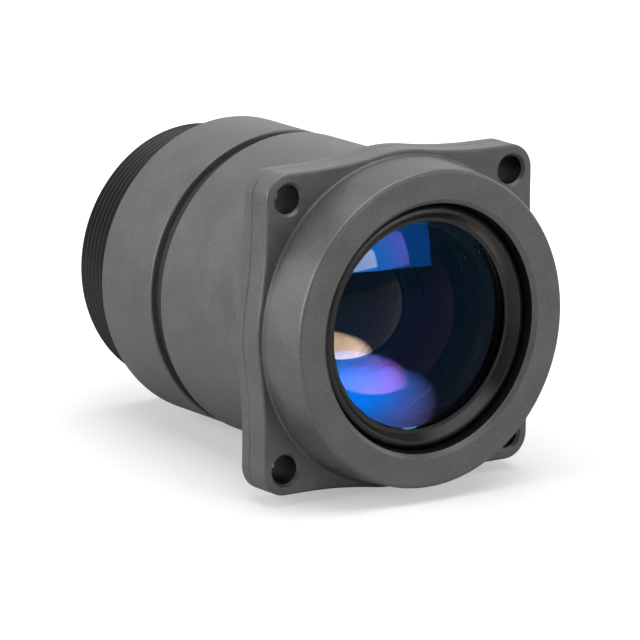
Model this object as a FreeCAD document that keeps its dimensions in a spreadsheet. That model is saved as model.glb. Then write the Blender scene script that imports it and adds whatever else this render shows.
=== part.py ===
# Fixed focus machine vision lens with a square mounting flange and an M42 x 1 camera thread.
# Frame: +Z up, the optical axis along Y, the front towards -Y. The origin is on the optical
# axis, in the plane of the flange's front face.
# Inside each sub-part, depth is measured along Y from the front ring's face, and the
# placement moves every sub-part so that the flange's front face lies at zero.
import FreeCAD, Part
import math
import os
import Sketcher

DRIVING_SIZES = {
    # flange: its side is the front ring's diameter and a margin on each side
    "flange_margin": 0.25,
    "corner_radius": 4.0,
    "side_bulge": 1.4,
    "bulge_blend": 80.0,
    "front_plate": 3.9,
    "rear_plate": 2.3,
    "edge_round": 0.4,
    "parting_bevel": 0.12,
    "hole_inset": 4.0,
    "hole_dia": 4.5,
    "hole_bevel": 0.45,
    # boss and front ring
    "boss_length": 8.6,
    "boss_cove": 0.35,
    "foot_inset": 0.1,
    "bore_dia": 38.4,
    "ring_wall": 5.55,
    "ring_round": 0.6,
    "bore_flare_width": 0.3,
    "bore_flare_depth": 1.6,
    "bore_bevel_width": 0.68,
    "bore_bevel_depth": 0.6,
    # barrel
    "barrel_length": 23.5,
    "barrel_step": 2.2,
    "barrel_wall": 2.1,
    "barrel_edge": 0.25,
    "spigot_length": 4.2,
    "spigot_wall": 2.3,
    "web_thickness": 2.0,
    "web_height": 2.7,
    # rear ring, groove and camera thread
    "groove_width": 3.0,
    "rear_ring_length": 13.8,
    "rear_ring_wall": 1.9,
    "rear_ring_lip": 1.5,
    "rear_ring_edge": 0.35,
    "thread_dia": 42.0,
    "thread_length": 11.0,
    "thread_lead": 0.6,
    "relief_width": 1.6,
    "relief_depth": 0.7,
    "tube_step": 0.95,
    "tube_wall": 1.8,
    # seals
    "groove_seal_height": 0.9,
    "cord_dia": 1.1,
    "cord_room": 0.1,
    "seal_inset": 1.8,
    "cell_seal_depth": 15.3,
    # fits
    "slip": 0.05,
    "lens_touch": 0.06,
    # front retaining ring
    "retainer_clearance": 0.2,
    "retainer_lip": 0.28,
    "retainer_lip_width": 0.55,
    "retainer_lip_fall": 1.45,
    "retainer_round": 1.35,
    "retainer_length": 3.9,
    # front group
    "cell_wall": 1.6,
    "lens_1_vertex": 1.05,
    "lens_1_middle": 5.3,
    "lens_1_front": 55.0,
    "lens_1_rear": 180.0,
    "lens_1_land_width": 1.5,
    "front_shelf": 1.5,
    "lens_2_dia": 30.0,
    "lens_2_gap": 1.15,
    "lens_2_middle": 7.2,
    "lens_2_front": 26.0,
    "front_cement": 150.0,
    "lens_3_middle": 1.8,
    "lens_3_rear": 16.0,
    "lens_3_land_width": 2.8,
    "spacer_wall": 0.8,
    "seat_relief": 0.4,
    "front_cell_end": 1.55,
    # stop
    "stop_dia": 13.6,
    "stop_thickness": 0.3,
    "stop_ring_length": 0.8,
    "stop_ring_wall": 1.5,
    # rear group
    "rear_nose": 1.4,
    "nose_wall": 1.9,
    "rear_cell_flange": 5.6,
    "rear_cell_room": 1.0,
    "lens_4_dia": 27.0,
    "lens_4_gap": 0.8,
    "lens_4_front": 17.0,
    "lens_4_land_width": 2.7,
    "lens_4_middle": 1.8,
    "rear_cement": 300.0,
    "lens_5_middle": 7.0,
    "lens_5_rear": 24.0,
    "rear_shelf": 1.0,
    "lens_6_dia": 29.0,
    "lens_6_gap": 0.6,
    "lens_6_front": 110.0,
    "lens_6_land_width": 0.9,
    "lens_6_middle": 4.7,
    "lens_6_rear": 48.0,
    "rear_retainer_wall": 1.9,
    "rear_retainer_flare": 0.8,
    "rear_retainer_length": 2.4,
    "rear_cell_rim": 0.4,
    "slot_width": 1.6,
    "slot_depth": 0.9,
}


class Size:
    """A length that carries its number and the text of its formula."""

    def __init__(self, text, number):
        self.text = text
        self.number = number

    def joined(self, sign, other, number):
        return Size(f"({self.text} {sign} {as_size(other).text})", number)

    def __add__(self, other):
        return self.joined("+", other, self.number + as_size(other).number)

    def __sub__(self, other):
        return self.joined("-", other, self.number - as_size(other).number)

    def __mul__(self, other):
        return self.joined("*", other, self.number * as_size(other).number)

    def __truediv__(self, other):
        return self.joined("/", other, self.number / as_size(other).number)


def as_size(value):
    """Plain numbers in a formula become sizes too."""
    return value if isinstance(value, Size) else Size(str(value), value)


def sag(curve, reach):
    """How far a sphere of radius curve falls away from its vertex at the distance reach."""
    inside = curve * curve - reach * reach
    return curve - Size(f"sqrt({inside.text})", math.sqrt(inside.number))


doc = FreeCAD.newDocument("vision_lens")
sheet = doc.addObject("Spreadsheet::Sheet", "Sizes")
d = {}
for row, (name, number) in enumerate(DRIVING_SIZES.items(), start=1):
    sheet.set(f"A{row}", name)
    sheet.set(f"B{row}", str(number))
    sheet.setAlias(f"B{row}", name)
    d[name] = Size(f"Sizes.{name}", number)
doc.recompute()

# Radii that pieces share, and the flange's half side
bore = d["bore_dia"] / 2
ring_outside = bore + d["ring_wall"]
half_side = ring_outside + d["flange_margin"]
bulge = half_side + d["side_bulge"]
hole_place = half_side - d["hole_inset"]
spigot = bore + d["spigot_wall"]
web_bore = bore - d["web_height"]
thread = d["thread_dia"] / 2
tube_bore = thread - d["relief_depth"] - d["tube_wall"]
tube_outside = thread + d["tube_step"]
ring_bore = tube_outside + d["slip"]
cord = d["cord_dia"] / 2
cell_outside = bore - d["slip"]
nose_outside = web_bore - d["slip"]

# Depths of the housing behind the front ring's face
flange_face = d["boss_length"]
parting = flange_face + d["front_plate"]
flange_rear = parting + d["rear_plate"]
barrel_rear = flange_rear + d["barrel_length"]
ring_front = barrel_rear + d["groove_width"]
camera_seat = ring_front + d["rear_ring_length"]
thread_end = camera_seat + d["thread_length"]
spigot_front = parting - d["spigot_length"]

# Radii and depths of the front group
lens_1_edge = cell_outside - d["cell_wall"] - d["slip"]
lens_1_window = lens_1_edge - d["lens_1_land_width"]
lens_1_back = d["lens_1_vertex"] + d["lens_1_middle"]
lens_1_land = lens_1_back + sag(d["lens_1_rear"], lens_1_window)
retainer_eye = lens_1_window + d["retainer_clearance"]
lip_rear = d["lens_1_vertex"] + sag(d["lens_1_front"], retainer_eye) - d["lens_touch"]
lip_front = lip_rear - d["retainer_lip"]
retainer_front = lip_front - d["retainer_lip_fall"]
retainer_rear = retainer_front + d["retainer_length"]
front_step = lens_1_land + d["front_shelf"]
lens_2_edge = d["lens_2_dia"] / 2
lens_2_vertex = lens_1_back + d["lens_2_gap"]
front_joint = lens_2_vertex + d["lens_2_middle"]
lens_3_back = front_joint + d["lens_3_middle"]
lens_3_window = lens_2_edge - d["lens_3_land_width"]
lens_3_land = lens_3_back + sag(d["lens_3_rear"], lens_3_window)
web_front = lens_3_land + d["front_cell_end"]
web_rear = web_front + d["web_thickness"]
tube_front = web_rear + d["rear_cell_flange"]

# Radii and depths of the stop and the rear group
stop_edge = nose_outside - d["nose_wall"] - d["slip"]
nose_front = web_rear - d["rear_nose"]
stop_front = nose_front + d["stop_ring_length"]
stop_rear = stop_front + d["stop_thickness"]
lens_4_edge = d["lens_4_dia"] / 2
lens_4_window = lens_4_edge - d["lens_4_land_width"]
lens_4_land = stop_rear + d["lens_4_gap"]
lens_4_vertex = lens_4_land + sag(d["lens_4_front"], lens_4_window)
rear_joint = lens_4_vertex + d["lens_4_middle"]
lens_5_back = rear_joint + d["lens_5_middle"]
rear_spacer_eye = lens_4_edge - d["spacer_wall"]
rear_spacer_front = lens_5_back - sag(d["lens_5_rear"], rear_spacer_eye) + d["lens_touch"]
rear_step = rear_spacer_front + d["rear_shelf"]
lens_6_edge = d["lens_6_dia"] / 2
lens_6_window = lens_6_edge - d["lens_6_land_width"]
lens_6_vertex = lens_5_back + d["lens_6_gap"]
lens_6_land = lens_6_vertex + sag(d["lens_6_front"], lens_6_window)
lens_6_back = lens_6_vertex + d["lens_6_middle"]
rear_eye = lens_6_edge - d["rear_retainer_wall"]
rear_retainer_front = lens_6_back - sag(d["lens_6_rear"], rear_eye) + d["lens_touch"]
rear_retainer_rear = rear_retainer_front + d["rear_retainer_length"]
rear_cell_rear = rear_retainer_rear + d["rear_cell_rim"]

AXIS = 0
RING_FACE = 0
bodies = []


def new_body(label):
    body = doc.addObject("PartDesign::Body", label)
    body.Label = label
    body.setExpression("Placement.Base.y", f"-{flange_face.text}")
    bodies.append(body)
    return body


def origin_part(body, role):
    return next(item for item in body.Origin.OriginFeatures if item.Role == role)


def new_sketch(body, name, role):
    sketch = body.newObject("Sketcher::SketchObject", name)
    sketch.AttachmentSupport = (origin_part(body, role), [""])
    sketch.MapMode = "FlatFace"
    return sketch


def hold(sketch, kind, places, size):
    """Adds a dimension to a sketch and ties it to the sheet."""
    index = sketch.addConstraint(Sketcher.Constraint(kind, *places, size.number))
    sketch.setExpression(f"Constraints[{index}]", size.text)


def hold_point(sketch, edge, end, along=None, up=None):
    """Holds one end of an edge at its distances from the sketch's origin.
    A plain zero puts it on the sketch's own axis, and None leaves it to its neighbours."""
    if isinstance(up, Size):
        hold(sketch, "DistanceY", (-1, 1, edge, end), up)
    elif up is not None:
        sketch.addConstraint(Sketcher.Constraint("PointOnObject", edge, end, -1))
    if isinstance(along, Size):
        hold(sketch, "DistanceX", (-1, 1, edge, end), along)
    elif along is not None:
        sketch.addConstraint(Sketcher.Constraint("PointOnObject", edge, end, -2))


class Corner:
    """A corner of a turned section. With a centre, the edge that follows it is an arc.
    What follows names is left to that corner's arc: its depth or its radius."""

    def __init__(self, depth, radius, centre=None, follows=None):
        self.depth = depth
        self.radius = radius
        self.centre = centre
        self.follows = follows

    def vector(self):
        return FreeCAD.Vector(as_size(self.depth).number, as_size(self.radius).number, 0)


def arc_between(start, end, centre):
    """The short arc from start to end, and whether its own ends come in that order."""
    middle = FreeCAD.Vector(as_size(centre[0]).number, as_size(centre[1]).number, 0)
    first = math.atan2(start.y - middle.y, start.x - middle.x)
    last = math.atan2(end.y - middle.y, end.x - middle.x)
    turn = (last - first + math.pi) % (2 * math.pi) - math.pi
    circle = Part.Circle(middle, FreeCAD.Vector(0, 0, 1), (start - middle).Length)
    if turn > 0:
        return Part.ArcOfCircle(circle, first, first + turn), True
    return Part.ArcOfCircle(circle, last, last - turn), False


def draw_section(body, name, corners):
    """Draws a closed outline: across is the depth, up is the radius from the optical axis."""
    sketch = new_sketch(body, name, "YZ_Plane")
    ends = []
    for index, corner in enumerate(corners):
        start = corner.vector()
        finish = corners[(index + 1) % len(corners)].vector()
        if corner.centre is None:
            edge = sketch.addGeometry(Part.LineSegment(start, finish), False)
            ends.append((edge, 1, 2))
            continue
        arc, in_order = arc_between(start, finish, corner.centre)
        edge = sketch.addGeometry(arc, False)
        ends.append((edge, 1, 2) if in_order else (edge, 2, 1))
    for index, corner in enumerate(corners):
        edge, first, last = ends[index]
        following, next_first, _ = ends[(index + 1) % len(corners)]
        sketch.addConstraint(Sketcher.Constraint("Coincident", edge, last, following, next_first))
        along = None if corner.follows == "depth" else corner.depth
        up = None if corner.follows == "radius" else corner.radius
        hold_point(sketch, edge, first, along, up)
        if corner.centre is not None:
            hold_point(sketch, edge, 3, *corner.centre)
    return sketch


def turn_sketch(body, name, kind, sketch):
    turned = body.newObject(kind, name)
    turned.Profile = sketch
    turned.ReferenceAxis = (sketch, ["H_Axis"])
    turned.Angle = 360
    doc.recompute()


def turn_solid(body, name, corners):
    """Turns a closed section about the optical axis."""
    turn_sketch(body, name, "PartDesign::Revolution", draw_section(body, f"{name}_section", corners))


def turned_piece(label, corners):
    body = new_body(label)
    turn_solid(body, f"{label}_turned", corners)
    return body


def check_cut(body, volume, name):
    """A cut that points away from the solid shows no error, so the volume is compared."""
    if body.Shape.Volume > volume - 1e-3:
        raise ValueError(f"{name} cuts nothing")


def turn_away(body, name, corners):
    """Cuts a closed section, turned about the optical axis."""
    volume = body.Shape.Volume
    turn_sketch(body, name, "PartDesign::Groove", draw_section(body, f"{name}_section", corners))
    check_cut(body, volume, name)


def ring_section(front, rear, inside, outside):
    return [Corner(front, inside), Corner(front, outside), Corner(rear, outside), Corner(rear, inside)]


def edges_where(body, wanted):
    return [f"Edge{index}" for index, edge in enumerate(body.Shape.Edges, start=1) if wanted(edge)]


def dress(body, kind, name, edges, size):
    """Rounds or bevels edges of the body's last feature."""
    base = body.Tip
    feature = body.newObject(kind, name)
    feature.Base = (base, edges)
    feature.setExpression("Radius" if kind == "PartDesign::Fillet" else "Size", size.text)
    doc.recompute()


def lies_at(body, edge, depth):
    """Whether a whole edge lies in the plane at this depth behind the front ring's face."""
    box = edge.BoundBox
    place = depth.number + body.Placement.Base.y
    return abs(box.YMin - place) < 1e-4 and abs(box.YMax - place) < 1e-4


def reach(edge):
    """The edge's largest distance from the optical axis."""
    return max(math.hypot(point.x, point.z) for point in edge.discretize(9))


def pad_outline(body, name, depth, thickness, draw):
    """Pads an outline that is drawn square to the optical axis, towards the rear."""
    sketch = new_sketch(body, f"{name}_outline", "XZ_Plane")
    sketch.setExpression("AttachmentOffset.Base.z", f"-{depth.text}")
    draw(sketch)
    pad = body.newObject("PartDesign::Pad", name)
    pad.Profile = sketch
    pad.setExpression("Length", thickness.text)
    pad.Reversed = True
    doc.recompute()


def draw_rectangle(sketch, left, right, low, high):
    """Four lines, in the order low, right, high and left, held by the sizes of their places."""
    spots = [FreeCAD.Vector(along.number, up.number, 0)
             for along, up in ((left, low), (right, low), (right, high), (left, high))]
    for index, kind in enumerate(("Horizontal", "Vertical", "Horizontal", "Vertical")):
        sketch.addGeometry(Part.LineSegment(spots[index], spots[(index + 1) % 4]), False)
        sketch.addConstraint(Sketcher.Constraint(kind, index))
    for index in range(4):
        sketch.addConstraint(Sketcher.Constraint("Coincident", index, 2, (index + 1) % 4, 1))
    hold_point(sketch, 0, 1, left, low)
    hold_point(sketch, 1, 2, right, high)


def draw_square(sketch):
    draw_rectangle(sketch, half_side * -1, half_side, half_side * -1, half_side)


def draw_circle(sketch, along, up, radius):
    middle = FreeCAD.Vector(as_size(along).number, as_size(up).number, 0)
    circle = sketch.addGeometry(Part.Circle(middle, FreeCAD.Vector(0, 0, 1), radius.number), False)
    hold_point(sketch, circle, 3, along, up)
    hold(sketch, "Radius", (circle,), radius)


def flange_plate(body, name, depth, thickness):
    """A square plate whose sides swell over the round body, with rounded corners."""
    pad_outline(body, f"{name}_square", depth, thickness, draw_square)
    pad_outline(body, f"{name}_round", depth, thickness, lambda sketch: draw_circle(sketch, 0, 0, bulge))

    def upright(edge, distance):
        return edge.BoundBox.YLength > thickness.number / 2 and abs(reach(edge) - distance) < 1e-3

    crossings = edges_where(body, lambda edge: upright(edge, bulge.number))
    dress(body, "PartDesign::Fillet", f"{name}_swell", crossings, d["bulge_blend"])
    corner_reach = half_side.number * math.sqrt(2)
    corners = edges_where(body, lambda edge: upright(edge, corner_reach))
    dress(body, "PartDesign::Fillet", f"{name}_corners", corners, d["corner_radius"])


def outline_edges(body, depth):
    return edges_where(body, lambda edge: lies_at(body, edge, depth))


def mounting_holes(body, name, depth, thickness):
    """Four clearance holes through a flange plate: one, turned round to four."""
    volume = body.Shape.Volume
    sketch = new_sketch(body, f"{name}_spot", "XZ_Plane")
    sketch.setExpression("AttachmentOffset.Base.z", f"-{depth.text}")
    draw_circle(sketch, hole_place, hole_place, d["hole_dia"] / 2)
    hole = body.newObject("PartDesign::Pocket", name)
    hole.Profile = sketch
    hole.setExpression("Length", thickness.text)
    doc.recompute()
    check_cut(body, volume, name)
    pattern = body.newObject("PartDesign::PolarPattern", f"{name}_pattern")
    pattern.Originals = [hole]
    pattern.Axis = (origin_part(body, "Y_Axis"), [""])
    pattern.Angle = 360
    pattern.Occurrences = 4
    body.Tip = pattern
    doc.recompute()


def cord_seal(label, depth, radius):
    """A seal of round cord, whose middle runs at this depth and radius."""
    body = new_body(label)
    sketch = new_sketch(body, "cord_section", "YZ_Plane")
    draw_circle(sketch, depth, radius, cord)
    turn_sketch(body, "cord", "PartDesign::Revolution", sketch)


def make_front_housing():
    body = new_body("front_housing")
    flange_plate(body, "front_plate", flange_face, d["front_plate"])
    dress(body, "PartDesign::Fillet", "front_edge", outline_edges(body, flange_face), d["edge_round"])
    dress(body, "PartDesign::Chamfer", "parting_edge", outline_edges(body, parting), d["parting_bevel"])
    foot = bulge - d["edge_round"] - d["foot_inset"]
    cove_front = flange_face - d["boss_cove"]
    turn_solid(body, "boss", [
        Corner(RING_FACE, AXIS),
        Corner(RING_FACE, ring_outside),
        Corner(cove_front, foot - d["boss_cove"], centre=(cove_front, foot), follows="radius"),
        Corner(flange_face, foot),
        Corner(flange_face, AXIS),
    ])
    rim = edges_where(body, lambda edge: lies_at(body, edge, as_size(RING_FACE)))
    dress(body, "PartDesign::Fillet", "ring_edge", rim, d["ring_round"])
    flare = bore + d["bore_flare_width"]
    turn_away(body, "front_bore", [
        Corner(RING_FACE, AXIS),
        Corner(RING_FACE, flare + d["bore_bevel_width"]),
        Corner(d["bore_bevel_depth"], flare),
        Corner(d["bore_flare_depth"], bore),
        Corner(spigot_front, bore),
        Corner(spigot_front, spigot + d["slip"]),
        Corner(parting, spigot + d["slip"]),
        Corner(parting, AXIS),
    ])
    mounting_holes(body, "front_holes", flange_face, d["front_plate"])
    rim_length = math.pi * d["hole_dia"].number
    rims = edges_where(body, lambda edge: lies_at(body, edge, flange_face)
                       and abs(edge.Length - rim_length) < 1e-3)
    dress(body, "PartDesign::Chamfer", "hole_rims", rims, d["hole_bevel"])


def make_main_barrel():
    body = new_body("main_barrel")
    flange_plate(body, "rear_plate", parting, d["rear_plate"])
    dress(body, "PartDesign::Fillet", "rear_edge", outline_edges(body, flange_rear), d["edge_round"])
    dress(body, "PartDesign::Chamfer", "parting_edge", outline_edges(body, parting), d["parting_bevel"])
    barrel_end = ring_bore + d["barrel_wall"]
    turn_solid(body, "barrel", [
        Corner(spigot_front, AXIS),
        Corner(spigot_front, spigot),
        Corner(flange_rear, spigot),
        Corner(flange_rear, bulge - d["barrel_step"]),
        Corner(barrel_rear - d["barrel_edge"], barrel_end),
        Corner(barrel_rear, barrel_end - d["barrel_edge"]),
        Corner(barrel_rear, AXIS),
    ])
    turn_away(body, "barrel_bore", [
        Corner(spigot_front, AXIS),
        Corner(spigot_front, bore),
        Corner(web_front, bore),
        Corner(web_front, web_bore),
        Corner(web_rear, web_bore),
        Corner(web_rear, bore),
        Corner(tube_front, bore),
        Corner(tube_front, ring_bore),
        Corner(barrel_rear, ring_bore),
        Corner(barrel_rear, AXIS),
    ])
    room = cord + d["cord_room"]
    middle = spigot + d["seal_inset"]
    seal_bottom = parting + d["cord_dia"] + d["cord_room"]
    turn_away(body, "seal_groove", ring_section(parting, seal_bottom, middle - room, middle + room))
    mounting_holes(body, "rear_holes", parting, d["rear_plate"])
    cord_seal("housing_seal", parting + d["cord_room"] / 2 + cord, middle)


def make_rear_ring():
    outside = ring_bore + d["rear_ring_wall"]
    ring_step = camera_seat - d["rear_ring_lip"]
    turned_piece("rear_ring", [
        Corner(ring_front, ring_bore),
        Corner(ring_front, outside - d["rear_ring_edge"]),
        Corner(ring_front + d["rear_ring_edge"], outside),
        Corner(camera_seat - d["rear_ring_edge"], outside),
        Corner(camera_seat, outside - d["rear_ring_edge"]),
        Corner(camera_seat, thread + d["slip"]),
        Corner(ring_step, thread + d["slip"]),
        Corner(ring_step, ring_bore),
    ])
    turned_piece("mount_tube", [
        Corner(tube_front, tube_bore),
        Corner(tube_front, tube_outside),
        Corner(ring_step, tube_outside),
        Corner(ring_step, thread),
        Corner(camera_seat, thread),
        Corner(camera_seat, thread - d["relief_depth"]),
        Corner(camera_seat + d["relief_width"], thread - d["relief_depth"]),
        Corner(camera_seat + d["relief_width"], thread),
        Corner(thread_end - d["thread_lead"], thread),
        Corner(thread_end, thread - d["thread_lead"]),
        Corner(thread_end, tube_bore),
    ])
    turned_piece("groove_seal", ring_section(
        barrel_rear, ring_front, ring_bore, ring_bore + d["groove_seal_height"]))


def make_front_retaining_ring():
    crest = cell_outside - d["retainer_round"]
    shoulder = retainer_front + d["retainer_round"]
    skirt = lens_1_edge + d["slip"]
    turned_piece("front_retaining_ring", [
        Corner(retainer_rear, cell_outside),
        Corner(shoulder, cell_outside, centre=(shoulder, crest), follows="radius"),
        Corner(retainer_front, crest),
        Corner(lip_front, retainer_eye + d["retainer_lip_width"]),
        Corner(lip_front, retainer_eye),
        Corner(lip_rear, retainer_eye),
        Corner(lip_rear, skirt),
        Corner(retainer_rear, skirt),
    ])


def make_front_group():
    seal_middle = bore - d["cord_room"] / 2 - cord
    turned_piece("lens_1", [
        Corner(d["lens_1_vertex"], AXIS, centre=(d["lens_1_vertex"] + d["lens_1_front"], AXIS)),
        Corner(d["lens_1_vertex"] + sag(d["lens_1_front"], lens_1_edge), lens_1_edge, follows="depth"),
        Corner(lens_1_land, lens_1_edge),
        Corner(lens_1_land, lens_1_window, centre=(lens_1_back + d["lens_1_rear"], AXIS), follows="depth"),
        Corner(lens_1_back, AXIS),
    ])
    spacer_eye = lens_2_edge - d["spacer_wall"]
    nose_end = lens_2_vertex + sag(d["lens_2_front"], spacer_eye) - d["lens_touch"]
    turned_piece("spacer_ring_front", [
        Corner(lens_1_land, lens_1_window),
        Corner(lens_1_land, lens_1_edge),
        Corner(front_step, lens_1_edge),
        Corner(front_step, lens_2_edge),
        Corner(nose_end, lens_2_edge),
        Corner(nose_end, spacer_eye),
        Corner(front_step, spacer_eye),
    ])
    cement_centre = (front_joint + d["front_cement"], AXIS)
    cement_rim = front_joint + sag(d["front_cement"], lens_2_edge)
    turned_piece("lens_2", [
        Corner(lens_2_vertex, AXIS, centre=(lens_2_vertex + d["lens_2_front"], AXIS)),
        Corner(lens_2_vertex + sag(d["lens_2_front"], lens_2_edge), lens_2_edge, follows="depth"),
        Corner(cement_rim, lens_2_edge, centre=cement_centre, follows="depth"),
        Corner(front_joint, AXIS),
    ])
    turned_piece("lens_3", [
        Corner(front_joint, AXIS, centre=cement_centre),
        Corner(cement_rim, lens_2_edge, follows="depth"),
        Corner(lens_3_land, lens_2_edge),
        Corner(lens_3_land, lens_3_window, centre=(lens_3_back + d["lens_3_rear"], AXIS), follows="depth"),
        Corner(lens_3_back, AXIS),
    ])
    groove_half = cord + d["cord_room"]
    groove_floor = seal_middle - cord - d["cord_room"] / 2
    turned_piece("front_cell", [
        Corner(retainer_rear, lens_1_edge + d["slip"]),
        Corner(retainer_rear, cell_outside),
        Corner(d["cell_seal_depth"] - groove_half, cell_outside),
        Corner(d["cell_seal_depth"] - groove_half, groove_floor),
        Corner(d["cell_seal_depth"] + groove_half, groove_floor),
        Corner(d["cell_seal_depth"] + groove_half, cell_outside),
        Corner(web_front, cell_outside),
        Corner(web_front, lens_3_window + d["seat_relief"]),
        Corner(lens_3_land, lens_3_window + d["seat_relief"]),
        Corner(lens_3_land, lens_2_edge + d["slip"]),
        Corner(front_step, lens_2_edge + d["slip"]),
        Corner(front_step, lens_1_edge + d["slip"]),
    ])
    cord_seal("cell_seal", d["cell_seal_depth"], seal_middle)


def make_stop():
    turned_piece("aperture_stop", ring_section(stop_front, stop_rear, d["stop_dia"] / 2, stop_edge))
    turned_piece("stop_ring", ring_section(
        nose_front, stop_front, stop_edge - d["stop_ring_wall"], stop_edge))


def make_rear_group():
    turned_piece("rear_cell", [
        Corner(nose_front, stop_edge + d["slip"]),
        Corner(nose_front, nose_outside),
        Corner(web_rear, nose_outside),
        Corner(web_rear, cell_outside),
        Corner(tube_front, cell_outside),
        Corner(tube_front, tube_bore - d["rear_cell_room"]),
        Corner(rear_cell_rear, tube_bore - d["rear_cell_room"]),
        Corner(rear_cell_rear, lens_6_edge + d["slip"]),
        Corner(rear_step, lens_6_edge + d["slip"]),
        Corner(rear_step, lens_4_edge + d["slip"]),
        Corner(lens_4_land, lens_4_edge + d["slip"]),
        Corner(lens_4_land, lens_4_window + d["seat_relief"]),
        Corner(stop_rear, lens_4_window + d["seat_relief"]),
        Corner(stop_rear, stop_edge + d["slip"]),
    ])
    cement_centre = (rear_joint + d["rear_cement"], AXIS)
    cement_rim = rear_joint + sag(d["rear_cement"], lens_4_edge)
    turned_piece("lens_4", [
        Corner(lens_4_vertex, AXIS, centre=(lens_4_vertex - d["lens_4_front"], AXIS)),
        Corner(lens_4_land, lens_4_window, follows="depth"),
        Corner(lens_4_land, lens_4_edge),
        Corner(cement_rim, lens_4_edge, centre=cement_centre, follows="depth"),
        Corner(rear_joint, AXIS),
    ])
    turned_piece("lens_5", [
        Corner(rear_joint, AXIS, centre=cement_centre),
        Corner(cement_rim, lens_4_edge, follows="depth"),
        Corner(lens_5_back - sag(d["lens_5_rear"], lens_4_edge), lens_4_edge,
               centre=(lens_5_back - d["lens_5_rear"], AXIS), follows="depth"),
        Corner(lens_5_back, AXIS),
    ])
    turned_piece("spacer_ring_rear", [
        Corner(rear_spacer_front, rear_spacer_eye),
        Corner(rear_spacer_front, lens_4_edge),
        Corner(rear_step, lens_4_edge),
        Corner(rear_step, lens_6_edge),
        Corner(lens_6_land, lens_6_edge),
        Corner(lens_6_land, lens_6_window),
    ])
    turned_piece("lens_6", [
        Corner(lens_6_vertex, AXIS, centre=(lens_6_vertex + d["lens_6_front"], AXIS)),
        Corner(lens_6_land, lens_6_window, follows="depth"),
        Corner(lens_6_land, lens_6_edge),
        Corner(lens_6_back - sag(d["lens_6_rear"], lens_6_edge), lens_6_edge,
               centre=(lens_6_back - d["lens_6_rear"], AXIS), follows="depth"),
        Corner(lens_6_back, AXIS),
    ])


def make_rear_retaining_ring():
    body = turned_piece("rear_retaining_ring", [
        Corner(rear_retainer_front, rear_eye),
        Corner(rear_retainer_front, lens_6_edge),
        Corner(rear_retainer_rear, lens_6_edge),
        Corner(rear_retainer_rear, rear_eye + d["rear_retainer_flare"]),
    ])
    volume = body.Shape.Volume
    sketch = new_sketch(body, "spanner_slot_outline", "YZ_Plane")
    half = d["slot_width"] / 2
    draw_rectangle(sketch, rear_retainer_rear - d["slot_depth"], rear_retainer_rear, half * -1, half)
    slot = body.newObject("PartDesign::Pocket", "spanner_slots")
    slot.Profile = sketch
    slot.setExpression("Length", d["lens_6_dia"].text)
    slot.Midplane = True
    doc.recompute()
    check_cut(body, volume, "spanner_slots")


def check_model():
    for item in doc.Objects:
        if "Invalid" in item.State or "Error" in item.State:
            raise ValueError(f"{item.Name} has failed: {item.State}")
    for body in bodies:
        if body.Shape.isNull() or not body.Shape.isValid():
            raise ValueError(f"{body.Label} has no valid shape")


def write_parts():
    os.makedirs("parts", exist_ok=True)
    for body in bodies:
        body.Shape.exportStep(f"parts/{body.Label}.step")
        print(f"{body.Label}: {body.Shape.Volume:.1f} mm3")


make_front_housing()
make_main_barrel()
make_rear_ring()
make_front_retaining_ring()
make_front_group()
make_stop()
make_rear_group()
make_rear_retaining_ring()
doc.recompute()
check_model()
write_parts()
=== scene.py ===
# %% [markdown]
# # A machine vision lens, piece by piece
#
# This lesson dresses a lens for industrial cameras. The real one is a machined aluminium housing:
# a square flange with a tapered boss in front of it, a round barrel behind it, a plain grey ring
# and a black thread that screws into the camera. Inside sit six lenses in black cups.
#
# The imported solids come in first, as a fixed frame. Each piece below is then made again with
# finer curves and bevels in the same place, and says which solid it stands for.

# %% Load the frame
import math

import bmesh
import bpy
from mathutils import Matrix, Vector


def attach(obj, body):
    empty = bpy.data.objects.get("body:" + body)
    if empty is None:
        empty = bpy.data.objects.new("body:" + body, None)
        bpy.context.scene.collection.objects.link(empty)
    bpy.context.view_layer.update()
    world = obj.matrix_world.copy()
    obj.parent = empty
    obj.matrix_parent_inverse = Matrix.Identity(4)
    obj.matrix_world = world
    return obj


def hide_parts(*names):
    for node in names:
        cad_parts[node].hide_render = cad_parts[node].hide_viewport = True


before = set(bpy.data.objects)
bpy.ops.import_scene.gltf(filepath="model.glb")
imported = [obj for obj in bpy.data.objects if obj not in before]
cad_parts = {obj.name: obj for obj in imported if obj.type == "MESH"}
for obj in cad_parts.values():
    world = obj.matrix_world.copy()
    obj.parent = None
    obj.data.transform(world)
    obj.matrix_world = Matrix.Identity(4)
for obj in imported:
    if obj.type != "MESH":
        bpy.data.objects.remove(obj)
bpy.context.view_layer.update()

print("solids:", len(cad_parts))

# %% [markdown]
# ## Where things are
#
# The lens is written in millimetres, and the room round it in metres. Depth is measured along the
# optical axis from the face of the front ring, and radius is the distance from that axis. The
# flange's front face is 8.6 mm behind the ring's face, and it is the frame's zero.

# %% From depth and radius to a place
MM = 0.001
FLANGE_FACE = 8.6
PARTING = 12.5
FLANGE_REAR = 14.8
SPIN_STEPS = 192


def place(depth, radius):
    """A point in the plane above the optical axis, in metres."""
    return Vector((0, (depth - FLANGE_FACE) * MM, radius * MM))


# %% [markdown]
# ## Turned pieces
#
# Nearly everything here is made on a lathe. So a piece starts as its section: one face drawn in
# the plane above the axis. Corners that are rounded on the real piece are bevelled while the
# section is still flat, which costs nothing. Then the face gives way to its outline, and a full
# spin about the axis turns the outline into the piece.

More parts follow.
